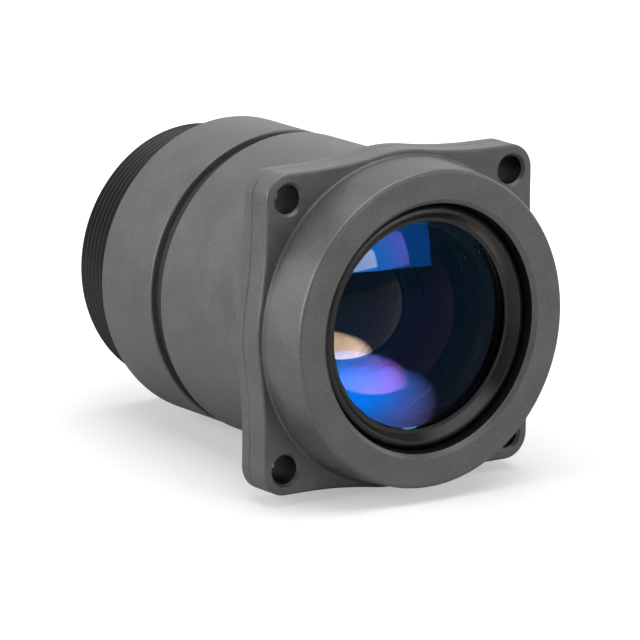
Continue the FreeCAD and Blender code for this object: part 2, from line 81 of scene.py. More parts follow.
# %% Turn a section into a piece
def section_outline(bm, corners):
    """Draws corners (depth, radius, rounding) as a face, rounds them and leaves the outline."""
    verts = [bm.verts.new(place(*corner[:2])) for corner in corners]
    bm.faces.new(verts)
    for size in sorted({corner[2] for corner in corners if len(corner) == 3}):
        chosen = [v for v, corner in zip(verts, corners) if len(corner) == 3 and corner[2] == size]
        bmesh.ops.bevel(bm, geom=chosen, offset=size * MM, offset_type="OFFSET", segments=4,
                        profile=0.5, affect="VERTICES", material=-1)
    bmesh.ops.delete(bm, geom=bm.faces[:], context="FACES_ONLY")


def spin_outline(bm, steps=SPIN_STEPS, centre=(0, 0, 0)):
    """Turns what is in the bmesh once about an axis through centre and closes the seam."""
    bmesh.ops.spin(bm, geom=bm.verts[:] + bm.edges[:], cent=centre, axis=(0, 1, 0),
                   angle=math.tau, steps=steps, use_merge=True)
    bmesh.ops.remove_doubles(bm, verts=bm.verts[:], dist=1e-7)
    bmesh.ops.dissolve_degenerate(bm, edges=bm.edges[:], dist=1e-8)
    bmesh.ops.recalc_face_normals(bm, faces=bm.faces[:])


def mesh_object(name, bm):
    """Puts a bmesh into a new object of the scene."""
    mesh = bpy.data.meshes.new(name)
    bm.to_mesh(mesh)
    bm.free()
    piece = bpy.data.objects.new(name, mesh)
    bpy.context.scene.collection.objects.link(piece)
    return piece


def turned(name, corners):
    """A closed ring, or a closed solid if its section touches the axis."""
    bm = bmesh.new()
    section_outline(bm, corners)
    on_axis = [e for e in bm.edges if all(abs(v.co.z) < 1e-9 for v in e.verts)]
    bmesh.ops.delete(bm, geom=on_axis, context="EDGES")
    spin_outline(bm)
    return mesh_object(name, bm)


# %% [markdown]
# ## Finishing a piece
#
# Flat faces stay flat and turned faces look smooth when edges over a small angle are marked
# sharp and the normals are weighted by face area. Each piece then gets its finish, rides on the
# one rigid body and names the solids that it stands for.

# %% Shade, paint and register a piece
SHARP_ANGLE = math.radians(28)


def finish_piece(piece, materials, slot, *nodes):
    for material in materials:
        piece.data.materials.append(material)
    piece.data.polygons.foreach_set("use_smooth", [True] * len(piece.data.polygons))
    piece.data.set_sharp_from_angle(angle=SHARP_ANGLE)
    weighted = piece.modifiers.new("even_normals", "WEIGHTED_NORMAL")
    weighted.keep_sharp = True
    weighted.weight = 100
    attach(piece, "root")
    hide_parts(*nodes)
    print(f"{piece.name}: {len(piece.data.polygons)} faces")


# %% [markdown]
# ## Finishes
#
# The housing has a dark grey satin coat: a fine grain that sparkles a little, faint clouds and a
# soft highlight. It is one principled shader, with three noises that read Object coordinates, so
# the grain keeps its size in millimetres. An image would need unwrapping and could show seams.

# %% A helper that lays out a material
class Finish:
    """A material whose nodes are added one call at a time."""

    def __init__(self, name):
        self.material = bpy.data.materials.new(name)
        self.material.use_nodes = True
        self.nodes = self.material.node_tree.nodes
        self.links = self.material.node_tree.links
        self.shader = self.nodes["Principled BSDF"]
        self.coordinates = self.nodes.new("ShaderNodeTexCoord").outputs["Object"]

    def node(self, kind, settings=None, **inputs):
        made = self.nodes.new(kind)
        for key, value in (settings or {}).items():
            setattr(made, key, value)
        for key, value in inputs.items():
            self.feed(value, made.inputs[key.replace("_", " ")])
        return made

    def feed(self, value, socket):
        """Links a value that comes from a node, or writes a plain one on the socket."""
        if isinstance(value, bpy.types.NodeSocket):
            self.links.new(value, socket)
        else:
            socket.default_value = value

    def set(self, **inputs):
        for key, value in inputs.items():
            self.feed(value, self.shader.inputs[key.replace("_", " ")])

    def stretched(self, scale):
        """Object coordinates stretched by a scale along each axis."""
        return self.node("ShaderNodeMapping", Vector=self.coordinates, Scale=scale).outputs["Vector"]

    def noise(self, size_mm, detail=2.0, roughness=0.5, vector=None):
        """A noise whose cells are about size_mm across."""
        return self.node("ShaderNodeTexNoise", Vector=vector or self.coordinates,
                         Scale=1 / (size_mm * MM), Detail=detail, Roughness=roughness).outputs["Fac"]

    def between(self, value, low, high, start=0.0, end=1.0):
        """Maps start..end of a value to low..high, with no step outside it."""
        return self.node("ShaderNodeMapRange", {"clamp": True}, Value=value, From_Min=start,
                         From_Max=end, To_Min=low, To_Max=high).outputs["Result"]

    def blend(self, factor, first, second):
        mix = self.nodes.new("ShaderNodeMix")
        mix.data_type = "RGBA"
        self.feed(factor, mix.inputs[0])
        self.feed(first, mix.inputs[6])
        self.feed(second, mix.inputs[7])
        return mix.outputs[2]

    def bump(self, height, depth_mm, strength=1.0):
        made = self.node("ShaderNodeBump", Height=height, Distance=depth_mm * MM, Strength=strength)
        self.set(Normal=made.outputs["Normal"])


# %% The grey coat
def grey_coat():
    finish = Finish("housing_grey")
    clouds = finish.noise(5.0, detail=4.0, roughness=0.6)
    grain = finish.noise(0.22, detail=3.0, roughness=0.75)
    fleck = finish.noise(0.09, detail=1.0)
    tone = finish.blend(finish.between(clouds, 0.0, 1.0, 0.35, 0.65),
                        (0.094, 0.095, 0.091, 1), (0.120, 0.121, 0.116, 1))
    dark = finish.between(grain, 0.0, 1.0, 0.30, 0.48)
    tone = finish.blend(dark, (0.055, 0.056, 0.053, 1), tone)
    light = finish.between(fleck, 0.0, 1.0, 0.60, 0.78)
    tone = finish.blend(light, tone, (0.22, 0.223, 0.215, 1))
    finish.set(Base_Color=tone, Metallic=0.4, IOR=1.5)
    finish.set(Roughness=finish.between(clouds, 0.36, 0.44, 0.35, 0.65))
    finish.bump(grain, 0.015, 0.6)
    return finish.material


housing_grey = grey_coat()
print("coat:", len(housing_grey.node_tree.nodes), "nodes")

# %% [markdown]
# The black parts are anodised, and each has its own depth of black. The camera tube is the
# palest, the retaining rings shine a little, and the bore and the cups are matt so that they
# swallow stray light. The bore's matt black also goes on the walls of the bolt holes, as painted
# shade. A noise stretched round the axis stands for the lathe's lines.

# %% The black finishes
def black_anodised(name, tone, roughness, line_mm, depth_mm, shine):
    """Satin black with the fine rings that a lathe leaves, which run round the axis."""
    finish = Finish(name)
    lines = finish.noise(line_mm, detail=2.0, vector=finish.stretched((0.02, 1.0, 0.02)))
    dust = finish.noise(0.5, detail=3.0)
    finish.set(Base_Color=finish.blend(dust, (tone * 0.8, tone * 0.8, tone * 0.78, 1),
                                       (tone * 1.25, tone * 1.25, tone * 1.2, 1)))
    finish.set(Roughness=finish.between(lines, roughness - 0.05, roughness + 0.05, 0.3, 0.7),
               Specular_IOR_Level=shine)
    finish.bump(lines, depth_mm, 0.5)
    return finish.material


# name, tone, roughness, width of a line and its depth in millimetres, shine
mount_black = black_anodised("mount_black", 0.014, 0.38, 0.25, 0.01, 0.5)
inner_black = black_anodised("inner_black", 0.005, 0.34, 0.2, 0.006, 0.4)
# this black also goes on the walls of the bolt holes, as painted shade
bore_black_and_hole_shade = black_anodised("bore_black_and_hole_shade", 0.003, 0.55, 0.3, 0.01, 0.15)
cup_black = black_anodised("cup_black", 0.0025, 0.5, 0.3, 0.006, 0.12)
print("blacks:", mount_black.name, inner_black.name, bore_black_and_hole_shade.name, cup_black.name)


# %% Rubber for the seals and paint for the lens edges
def rubber():
    finish = Finish("seal_rubber")
    pores = finish.noise(0.3, detail=2.0)
    finish.set(Base_Color=finish.blend(pores, (0.010, 0.010, 0.010, 1), (0.016, 0.016, 0.016, 1)))
    finish.set(Roughness=finish.between(pores, 0.6, 0.8, 0.3, 0.7))
    finish.bump(pores, 0.02, 0.4)
    return finish.material


seal_rubber = rubber()


def edge_paint():
    """The matt black that keeps stray light off a lens's ground edge."""
    finish = Finish("lens_edge_black")
    brushed = finish.noise(0.4, detail=2.0)
    finish.set(Base_Color=finish.blend(brushed, (0.004, 0.004, 0.004, 1), (0.007, 0.007, 0.007, 1)))
    finish.set(Roughness=finish.between(brushed, 0.55, 0.7, 0.3, 0.7))
    return finish.material


lens_edge_black = edge_paint()
print("matt finishes:", seal_rubber.name, lens_edge_black.name)

# %% [markdown]
# Each face of a lens carries a thin film of low index. It lets most light through, and what it
# still mirrors has a colour that follows from its thickness. The shader works that out from the
# film's thickness and index, so the colour changes with the angle as it does on a real lens.

# %% Coated glass
FILM_IOR = 1.38
FAINT = 0.985


def coated(name, film_nm, ior, tint=(1, 1, 1, 1)):
    """Clear glass whose thin film gives the reflections their colour."""
    finish = Finish(name)
    haze = finish.noise(6.0, detail=2.0)
    clear = [FAINT * level for level in tint[:3]] + [1]
    finish.set(Base_Color=finish.blend(haze, clear, tint), Roughness=0.0, Transmission_Weight=1.0,
               IOR=ior, Thin_Film_Thickness=film_nm, Thin_Film_IOR=FILM_IOR)
    return finish.material


blue_glass = coated("coated_glass_blue", 122.0, 1.75)
lavender_glass = coated("coated_glass_lavender", 288.0, 1.75)
violet_glass = coated("coated_glass_violet", 104.0, 1.65)
teal_glass = coated("coated_glass_teal", 345.0, 1.65)
pale_glass = coated("coated_glass_pale", 112.0, 1.6, (0.98, 0.98, 0.94, 1))
print("films of index", FILM_IOR)

# %% [markdown]
# ## The flange's outline
#
# Seen from the front, the flange is a square of 50 mm whose sides swell to 52.8 mm where they pass
# the round body. A side is an arc about the optical axis, a wide blend that curves the other
# way, a straight run and the corner's arc. Spinning one vertex about each arc's centre draws
# them exactly, and two mirrors make the other three quarters.

# %% Draw the outline of the flange
HALF_SIDE = 25.0
SWELL = 26.4
BLEND = 80.0
CORNER = 4.0
SWELL_STEPS, BLEND_STEPS, CORNER_STEPS = 6, 10, 16


def sweep(bm, vert, middle, degrees, steps):
    """Draws an arc from a vertex about a middle in the flange's plane. Returns its end."""
    spun = bmesh.ops.spin(bm, geom=[vert], cent=(middle[0] * MM, vert.co.y, middle[1] * MM),
                          axis=(0, -1, 0), angle=math.radians(degrees), steps=steps)
    return next(item for item in spun["geom_last"] if isinstance(item, bmesh.types.BMVert))


def run_to(bm, vert, across, up):
    """Draws a straight run from a vertex."""
    end = bmesh.ops.extrude_vert_indiv(bm, verts=[vert])["verts"][0]
    end.co = Vector((across * MM, vert.co.y, up * MM))
    return end


def flange_outline(bm, depth):
    centre_across = HALF_SIDE + BLEND
    centre_up = math.sqrt((SWELL + BLEND) ** 2 - centre_across ** 2)
    swell_turn = math.degrees(math.atan2(centre_up, centre_across))
    inner = HALF_SIDE - CORNER
    vert = bm.verts.new((SWELL * MM, (depth - FLANGE_FACE) * MM, 0))
    vert = sweep(bm, vert, (0, 0), swell_turn, SWELL_STEPS)
    vert = sweep(bm, vert, (centre_across, centre_up), -swell_turn, BLEND_STEPS)
    vert = run_to(bm, vert, HALF_SIDE, inner)
    vert = sweep(bm, vert, (inner, inner), 90, CORNER_STEPS)
    vert = run_to(bm, vert, centre_up, HALF_SIDE)
    vert = sweep(bm, vert, (centre_up, centre_across), -swell_turn, BLEND_STEPS)
    sweep(bm, vert, (0, 0), swell_turn, SWELL_STEPS)
    for axis in "XZ":
        bmesh.ops.mirror(bm, geom=bm.verts[:] + bm.edges[:], axis=axis, merge_dist=1e-6)
    bmesh.ops.remove_doubles(bm, verts=bm.verts[:], dist=1e-7)
    print("flange outline:", len(bm.edges), "edges, blend centre at", round(centre_up, 3))


# %% [markdown]
# ## Plate and round body together
#
# The outline is filled and extruded to a plate. The edge that shows is rounded with a bevel of
# its own loop, and the edge at the parting gets a small flat bevel, so that the two halves of
# the flange meet in a fine groove. The round body is turned as a ring with its bore in it and is
# joined to the plate. The bolt holes are cut away with turned cutters, as a drill takes them
# out. The booleans are exact ones, because they keep the turned faces as they are.

# %% Make a plate
EDGE_ROUND = 0.4
PARTING_BEVEL = 0.12


def flange_plate(name, depth, rear, round_at):
    bm = bmesh.new()
    flange_outline(bm, depth)
    face = bmesh.ops.contextual_create(bm, geom=bm.edges[:])["faces"]
    pushed = bmesh.ops.extrude_face_region(bm, geom=face)
    moved = [item for item in pushed["geom"] if isinstance(item, bmesh.types.BMVert)]
    bmesh.ops.translate(bm, verts=moved, vec=(0, (rear - depth) * MM, 0))
    bmesh.ops.recalc_face_normals(bm, faces=bm.faces[:])
    for at in (depth, rear):
        level = (at - FLANGE_FACE) * MM
        loop = [e for e in bm.edges if all(abs(v.co.y - level) < 1e-8 for v in e.verts)]
        rounded = at == round_at
        bmesh.ops.bevel(bm, geom=loop, offset=(EDGE_ROUND if rounded else PARTING_BEVEL) * MM,
                        offset_type="OFFSET", segments=5 if rounded else 1, profile=0.5,
                        affect="EDGES", material=-1, clamp_overlap=True)
    return mesh_object(name, bm)


# %% Cutters for the bolt holes, and the cutting
HOLE_PLACE = 21.0
HOLE_RADIUS = 2.25
HOLE_BEVEL = 0.45
HOLE_STEPS = 64


def hole_cutters(name, profile):
    """Four turned cutters, from one section of (depth, radius) pairs."""
    bm = bmesh.new()
    centre = Vector((HOLE_PLACE * MM, 0, HOLE_PLACE * MM))
    section = [place(depth, radius) + centre for depth, radius in profile]
    verts = [bm.verts.new(spot) for spot in section]
    for first, second in zip(verts, verts[1:]):
        bm.edges.new((first, second))
    spin_outline(bm, HOLE_STEPS, centre)
    for axis in "XZ":
        bmesh.ops.mirror(bm, geom=bm.verts[:] + bm.edges[:] + bm.faces[:], axis=axis,
                         merge_dist=-1)
    bmesh.ops.recalc_face_normals(bm, faces=bm.faces[:])
    return mesh_object(name, bm)


def machine(piece, tools):
    """Joins or cuts each tool with an exact boolean and keeps the result as the mesh."""
    for tool, operation in tools:
        cut = piece.modifiers.new(tool.name, "BOOLEAN")
        cut.object = tool
        cut.operation = operation
        cut.solver = "EXACT"
    bpy.context.view_layer.update()
    graph = bpy.context.evaluated_depsgraph_get()
    mesh = bpy.data.meshes.new_from_object(piece.evaluated_get(graph))
    piece.modifiers.clear()
    piece.data = mesh
    mesh.name = piece.name
    for tool, _ in tools:
        bpy.data.objects.remove(tool)
    bm = bmesh.new()
    bm.from_mesh(mesh)
    bmesh.ops.remove_doubles(bm, verts=bm.verts[:], dist=2e-7)
    bmesh.ops.dissolve_degenerate(bm, edges=bm.edges[:], dist=1e-7)
    open_edges = sum(not e.is_manifold for e in bm.edges)
    bm.to_mesh(mesh)
    bm.free()
    print(f"{piece.name}: machined, {open_edges} open edges")


# %% [markdown]
# The grey coat ends at the bore's bevel. Behind it the bore is black. The walls of the bolt holes
# are made black too, as painted shade for the dark inside them. The faces are chosen by where they
# lie, after the booleans have made them.

# %% Blacken the bore and paint shade into the bolt holes
NEAR = 0.01


def blacken_bore_and_shade_holes(piece, reach, front=-1.0):
    """Gives the second finish to faces within a reach of the axis, and to bolt holes as painted shade.
    """
    for face in piece.data.polygons:
        spots = [piece.data.vertices[i].co / MM for i in face.vertices]
        inside = all(math.hypot(spot.x, spot.z) < reach and spot.y + FLANGE_FACE > front
                     for spot in spots)
        # the walls of the bolt holes are made black as painted shade
        hole_shade = all(math.hypot(abs(spot.x) - HOLE_PLACE, abs(spot.z) - HOLE_PLACE)
                      < HOLE_RADIUS + NEAR for spot in spots)
        face.material_index = int(inside or hole_shade)


# %% [markdown]
# The front housing is the front half of the flange with the tapered boss on it. The end of the
# boss is the front ring, whose bore opens with a bevel and a slight flare, and a fine cove joins
# the boss to the plate. The boss is turned and joined on, so that its circles stay true.

# %% The front housing
RING_RADIUS = 24.75
RING_ROUND = 0.6
BORE = 19.2
BEVEL_REACH, BEVEL_DEPTH = 0.98, 0.6
FLARE_REACH, FLARE_DEPTH = 0.3, 1.6
BROKEN_EDGE = 0.08
COVE = 0.34
CONE_FOOT, BOSS_FOOT = 25.58, 25.98
SPIGOT_FRONT = 8.3
SPIGOT_RADIUS = 21.5
SPIGOT_SLIP = 0.05

housing = flange_plate("housing_front", FLANGE_FACE, PARTING, FLANGE_FACE)
boss = turned("boss", [
    (0, BORE + BEVEL_REACH, BROKEN_EDGE), (0, RING_RADIUS, RING_ROUND),
    (FLANGE_FACE + NEAR, CONE_FOOT, COVE), (FLANGE_FACE + NEAR, BOSS_FOOT),
    (FLANGE_FACE + 1, BOSS_FOOT), (FLANGE_FACE + 1, BORE),
    (FLARE_DEPTH, BORE), (BEVEL_DEPTH, BORE + FLARE_REACH, BROKEN_EDGE),
])
spigot_bore = turned("spigot_bore", [
    (SPIGOT_FRONT, 0), (SPIGOT_FRONT, SPIGOT_RADIUS + SPIGOT_SLIP),
    (PARTING + 1, SPIGOT_RADIUS + SPIGOT_SLIP), (PARTING + 1, 0),
])
front_holes = hole_cutters("front_holes", [
    (FLANGE_FACE - 0.5, 0), (FLANGE_FACE - 0.5, HOLE_RADIUS + HOLE_BEVEL + 0.5),
    (FLANGE_FACE + HOLE_BEVEL, HOLE_RADIUS), (PARTING + 0.5, HOLE_RADIUS), (PARTING + 0.5, 0),
])
machine(housing, [(boss, "UNION"), (spigot_bore, "DIFFERENCE"), (front_holes, "DIFFERENCE")])
blacken_bore_and_shade_holes(housing, SPIGOT_RADIUS + 0.1, BEVEL_DEPTH + 0.02)
finish_piece(housing, [housing_grey, bore_black_and_hole_shade], "housing_grey", "front_housing")

# %% [markdown]
# The barrel is the rear half of the flange, a spigot that fits into the front housing, and a
# round body with a web inside. The body is turned with its bore and joined to a bored plate. A
# bore cut out of a full body would give the same shape, but the boolean lost faces of it.

# %% The barrel behind the flange
RING_BORE = 22.0
BARREL_REAR = 38.3
BARREL_FRONT_RADIUS, BARREL_REAR_RADIUS = 24.204, 24.1
BARREL_EDGE = 0.25
WEB_FRONT, WEB_REAR = 23.7, 25.7
WEB_BORE = 16.5
TUBE_FRONT = 31.3

barrel = flange_plate("barrel_body", PARTING, FLANGE_REAR, FLANGE_REAR)
plate_bore = turned("plate_bore", [
    (PARTING - 1, 0), (PARTING - 1, BORE + 1), (FLANGE_REAR + 1, BORE + 1), (FLANGE_REAR + 1, 0),
])
body = turned("body", [
    (SPIGOT_FRONT, BORE), (SPIGOT_FRONT, SPIGOT_RADIUS), (FLANGE_REAR - 1, SPIGOT_RADIUS),
    (FLANGE_REAR - 1, BARREL_FRONT_RADIUS), (BARREL_REAR, BARREL_REAR_RADIUS, BARREL_EDGE),
    (BARREL_REAR, RING_BORE), (TUBE_FRONT, RING_BORE), (TUBE_FRONT, BORE),
    (WEB_REAR, BORE), (WEB_REAR, WEB_BORE), (WEB_FRONT, WEB_BORE), (WEB_FRONT, BORE),
])
rear_holes = hole_cutters("rear_holes", [
    (PARTING - 0.5, 0), (PARTING - 0.5, HOLE_RADIUS),
    (FLANGE_REAR + 0.5, HOLE_RADIUS), (FLANGE_REAR + 0.5, 0),
])
machine(barrel, [(plate_bore, "DIFFERENCE"), (body, "UNION"), (rear_holes, "DIFFERENCE")])
blacken_bore_and_shade_holes(barrel, RING_BORE + NEAR)
finish_piece(barrel, [housing_grey, bore_black_and_hole_shade], "housing_grey", "main_barrel")

# %% [markdown]
# ## Rings behind the barrel
#
# A plain grey ring stops against the camera. Between it and the barrel is a groove with a black
# seal at its bottom. The grey ring sits on the black tube that carries the camera's thread. Both
# rings are plain sections, so one turn each makes them.

# %% The rear ring and the groove's seal
RING_FRONT = 41.3
CAMERA_SEAT = 55.1
REAR_RADIUS = 23.9
REAR_EDGE = 0.35
LIP_FRONT, LIP_BORE = CAMERA_SEAT - 1.5, 21.05
SEAL_RADIUS, SEAL_ROUND = 22.9, 0.3
SEAL_BORE, SEAL_SLIP = 21.96, 0.02

rear_ring = turned("rear_ring_grey", [
    (RING_FRONT, RING_BORE), (RING_FRONT, REAR_RADIUS, REAR_EDGE),
    (CAMERA_SEAT, REAR_RADIUS, REAR_EDGE), (CAMERA_SEAT, LIP_BORE), (LIP_FRONT, LIP_BORE),
    (LIP_FRONT, RING_BORE),
])
finish_piece(rear_ring, [housing_grey], "housing_grey", "rear_ring")

groove_seal = turned("groove_seal_black", [
    (BARREL_REAR + SEAL_SLIP, SEAL_BORE), (BARREL_REAR + SEAL_SLIP, SEAL_RADIUS, SEAL_ROUND),
    (RING_FRONT - SEAL_SLIP, SEAL_RADIUS, SEAL_ROUND), (RING_FRONT - SEAL_SLIP, SEAL_BORE),
])
finish_piece(groove_seal, [seal_rubber], "seal_rubber", "groove_seal")

# %% [markdown]
# ## The camera thread
#
# The thread is M42 by 1 mm, right-handed. Its section is a row of teeth one pitch apart. A spin
# that also moves by one pitch per turn carries each tooth onto the next, so the merged result
# is one endless helix. Two flat cuts trim it to a rod, whose two ends are filled. The rod is
# joined to the plain tube in front of it, and one bore goes through both, as on a lathe.

# %% Spin the teeth
THREAD = 21.0
THREAD_ROOT = 20.39
THREAD_FRONT = 56.7
THREAD_END = 66.1
THREAD_LEAD = 0.6
PITCH = 1.0
CREST_ROUND = 0.04
# where a tooth's flank starts, its crest rounds in, runs flat, rounds out and ends
FLANK, CREST_IN, CREST, CREST_OUT, CREST_END = 0.20, 0.53, 0.57, 0.66, 0.70


def thread_teeth(bm):
    corners = []
    for turn in range(int(THREAD_END - THREAD_FRONT) + 4):
        start = THREAD_FRONT - 2 * PITCH + turn * PITCH
        corners += [(start, THREAD_ROOT), (start + FLANK, THREAD_ROOT),
                    (start + CREST_IN, THREAD - CREST_ROUND), (start + CREST, THREAD),
                    (start + CREST_OUT, THREAD), (start + CREST_END, THREAD - CREST_ROUND)]
    verts = [bm.verts.new(place(*corner)) for corner in corners]
    for first, second in zip(verts, verts[1:]):
        bm.edges.new((first, second))
    bmesh.ops.spin(bm, geom=bm.verts[:] + bm.edges[:], cent=(0, 0, 0), axis=(0, 1, 0),
                   dvec=(0, PITCH * MM / SPIN_STEPS, 0), angle=math.tau, steps=SPIN_STEPS,
                   use_merge=False)
    bmesh.ops.remove_doubles(bm, verts=bm.verts[:], dist=1e-7)


def cut_square(bm, depth, keep_front):
    """Cuts everything in front of or behind a depth away and fills the open end."""
    bmesh.ops.bisect_plane(bm, geom=bm.verts[:] + bm.edges[:] + bm.faces[:], dist=1e-8,
                           plane_co=place(depth, 0), plane_no=(0, 1, 0),
                           clear_outer=keep_front, clear_inner=not keep_front)
    level = place(depth, 0).y
    bmesh.ops.remove_doubles(bm, verts=bm.verts[:], dist=1e-7)
    rim = [e for e in bm.edges if e.is_boundary and all(abs(v.co.y - level) < 1e-6 for v in e.verts)]
    bmesh.ops.contextual_create(bm, geom=rim)


def threaded_rod(name):
    """The thread as a solid rod, with a cone that leads in at its rear end."""
    bm = bmesh.new()
    thread_teeth(bm)
    cut_square(bm, THREAD_END, True)
    cut_square(bm, THREAD_FRONT, False)
    for vert in bm.verts:
        reach = math.hypot(vert.co.x, vert.co.z)
        from_end = THREAD_END - (vert.co.y / MM + FLANGE_FACE)
        lead = (THREAD - THREAD_LEAD + from_end) * MM
        if reach > lead:
            vert.co.x *= lead / reach
            vert.co.z *= lead / reach
    bmesh.ops.recalc_face_normals(bm, faces=bm.faces[:])
    print(name, "length", round(THREAD_END - THREAD_FRONT, 2))
    return mesh_object(name, bm)


# %% Join the thread to its tube
TUBE_BORE = 18.5
TUBE_STEP = 21.95
RELIEF = 20.3
OVERLAP = 0.6

mount_tube = turned("mount_tube_threaded", [
    (TUBE_FRONT, 0), (TUBE_FRONT, TUBE_STEP), (LIP_FRONT, TUBE_STEP), (LIP_FRONT, THREAD),
    (CAMERA_SEAT, THREAD), (CAMERA_SEAT, RELIEF), (THREAD_FRONT + OVERLAP, RELIEF),
    (THREAD_FRONT + OVERLAP, 0),
])
tube_bore = turned("tube_bore", [
    (TUBE_FRONT - 1, 0), (TUBE_FRONT - 1, TUBE_BORE), (THREAD_END + 1, TUBE_BORE), (THREAD_END + 1, 0),
])
machine(mount_tube, [(threaded_rod("camera_thread"), "UNION"), (tube_bore, "DIFFERENCE")])
finish_piece(mount_tube, [mount_black], "mount_black", "mount_tube")

# %% [markdown]
# ## Black rings and cups inside
#
# The front retaining ring shows best: a wide rounded shoulder, a cone that leads to the glass and
# a short lip. The cups and spacers behind it are seen only through the glass, as dark steps. They
# are turned from their sections in one loop, each given as (depth, radius, rounding).

# %% Front retaining ring
retaining_ring = turned("retaining_ring_front", [
    (5.60, 19.15), (1.70, 19.15, 1.33), (1.70, 17.80, 0.12), (3.15, 16.75, 0.06), (3.15, 16.20, 0.05),
    (3.43, 16.20), (3.43, 17.55), (5.60, 17.55),
])
finish_piece(retaining_ring, [inner_black], "inner_black", "front_retaining_ring")

# %% Cups, spacers and the stop
INNER_RINGS = {
    "front_cup": ("front_cell", [
        (5.60, 17.55), (5.60, 19.15), (23.7, 19.15), (23.7, 12.6), (22.15, 12.6), (22.15, 15.05),
        (8.56, 15.05), (8.56, 17.55)]),
    "front_spacer": ("spacer_ring_front", [
        (7.08, 16.0, 0.1), (7.08, 17.5), (8.56, 17.5), (8.56, 15.0), (11.62, 15.0), (11.62, 14.2),
        (8.56, 14.2, 0.1)]),
    "stop_plate": ("aperture_stop", [(25.1, 6.8), (25.4, 6.8), (25.4, 14.5), (25.1, 14.5)]),
    "stop_keeper": ("stop_ring", [(24.3, 13.0, 0.15), (25.1, 13.0), (25.1, 14.5), (24.3, 14.5)]),
    "rear_cup": ("rear_cell", [
        (24.3, 14.55), (24.3, 16.45, 0.2), (25.7, 16.45), (25.7, 19.15), (31.3, 19.15), (31.3, 17.5),
        (45.35, 17.5, 0.3), (45.35, 14.55), (36.29, 14.55), (36.29, 13.55), (26.2, 13.55),
        (26.2, 11.2), (25.4, 11.2), (25.4, 14.55)]),
    "rear_spacer": ("spacer_ring_rear", [
        (35.32, 12.7), (35.32, 13.5), (36.29, 13.5), (36.29, 14.5), (40.29, 14.5), (40.29, 13.6)]),
}
for name, (node, corners) in INNER_RINGS.items():
    finish_piece(turned(name, corners), [cup_black], "inner_black", node)

# %% [markdown]
# The ring that holds the last lens has two slots for a spanner. One long bar, cut away across
# the whole ring, makes both at once, as a milling cutter would.

# %% The rear retaining ring with its spanner slots
KEEPER_REAR = 44.95
SLOT_LENGTH, SLOT_DEPTH, SLOT_WIDTH = 40.0, 0.9, 1.6

keeper = turned("retaining_ring_rear", [
    (42.57, 12.6), (42.57, 14.5), (KEEPER_REAR, 14.5), (KEEPER_REAR, 13.4, 0.15),
])
bm = bmesh.new()
bmesh.ops.create_cube(bm, size=1.0)
bmesh.ops.scale(bm, vec=(SLOT_LENGTH * MM, 2 * SLOT_DEPTH * MM, SLOT_WIDTH * MM), verts=bm.verts[:])
bmesh.ops.translate(bm, vec=place(KEEPER_REAR, 0), verts=bm.verts[:])
machine(keeper, [(mesh_object("spanner_slots", bm), "DIFFERENCE")])
finish_piece(keeper, [inner_black], "inner_black", "rear_retaining_ring")

# %% [markdown]
# ## The glass
#
# A lens is two spherical faces and a ground edge. One vertex spun about the centre of a face
# draws its curve, and the closed outline is turned about the axis. The ground edge and the flat
# land that the lens rests on are painted black, as real ones are. Two lenses that are cemented
# together share a face that mirrors next to nothing, so each pair is one closed piece.

# %% Turn a lens
GLASS_STEPS = 24


def dome(bm, vert, centre_depth, degrees):
    """Draws the curve of a face from a vertex, about a centre on the axis."""
    spun = bmesh.ops.spin(bm, geom=[vert], cent=place(centre_depth, 0), axis=(1, 0, 0),
                          angle=math.radians(degrees), steps=GLASS_STEPS)
    return next(item for item in spun["geom_last"] if isinstance(item, bmesh.types.BMVert))


def face_angle(curve, reach):
    """Half the angle that a face spans, seen from its centre."""
    return math.degrees(math.asin(reach / curve))


def lens(name, glasses, nodes, front, rear, corners):
    """front and rear are (depth at the axis, radius of the curve, reach from the axis).
    A curve below zero has its centre in front of the face. corners join the two faces."""
    bm = bmesh.new()
    ends = []
    for depth, curve, reach in (front, rear):
        vert = bm.verts.new(place(depth, 0))
        turn = -math.copysign(face_angle(abs(curve), reach), curve)
        ends.append(dome(bm, vert, depth + curve, turn))
    chain = [ends[0]] + [bm.verts.new(place(*corner)) for corner in corners] + [ends[1]]
    for first, second in zip(chain, chain[1:]):
        bm.edges.new((first, second))
    spin_outline(bm)
    lands = [place(depth, 0).y for depth, _ in corners]
    for face in bm.faces:
        middle = face.calc_center_median()
        on_land = abs(face.normal.y) > 0.9999 and min(abs(middle.y - land) for land in lands) < 1e-6
        ground = abs(face.normal.y) < 0.1 or on_land
        face.material_index = 2 if ground else int(face.normal.y > 0)
    print(name, "edge radius", round(max(v.co.z for v in bm.verts) / MM, 3))
    finish_piece(mesh_object(name, bm), [*glasses, lens_edge_black], "coated_glass", *nodes)


# %% The six lenses, as four closed pieces
lens("lens_front", (blue_glass, lavender_glass), ["lens_1"], (1.05, 55, 17.5), (6.35, 180, 16.0),
     [(7.06, 17.5)])
lens("doublet_front", (teal_glass, violet_glass), ["lens_2", "lens_3"], (7.5, 26, 15.0),
     (16.5, 16, 12.2), [(22.15, 15.0)])
lens("doublet_rear", (pale_glass, violet_glass), ["lens_4", "lens_5"], (30.07, -17, 10.8),
     (38.87, -24, 13.5), [(26.2, 13.5)])
lens("lens_rear", (pale_glass, violet_glass), ["lens_6"], (39.47, 110, 13.6), (44.17, -48, 14.5),
     [(40.31, 14.5)])

# %% [markdown]
# ## Solids that stay
#
# Two cord seals lie in closed grooves, where no one sees them. They keep their solids and get
# the rubber finish.

# %% Paint the hidden seals
for name in ("housing_seal", "cell_seal"):
    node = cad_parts[name]
    node.data.materials.clear()
    node.data.materials.append(seal_rubber)
    print("kept solid:", name)

# %% [markdown]
# ## Floor, light and camera
#
# The lens lies on a white table, on the edge of its flange and on its rear ring, so the table
# tips by the small angle between the two. Nothing else is tipped, so the lens stays square to
# the frame.

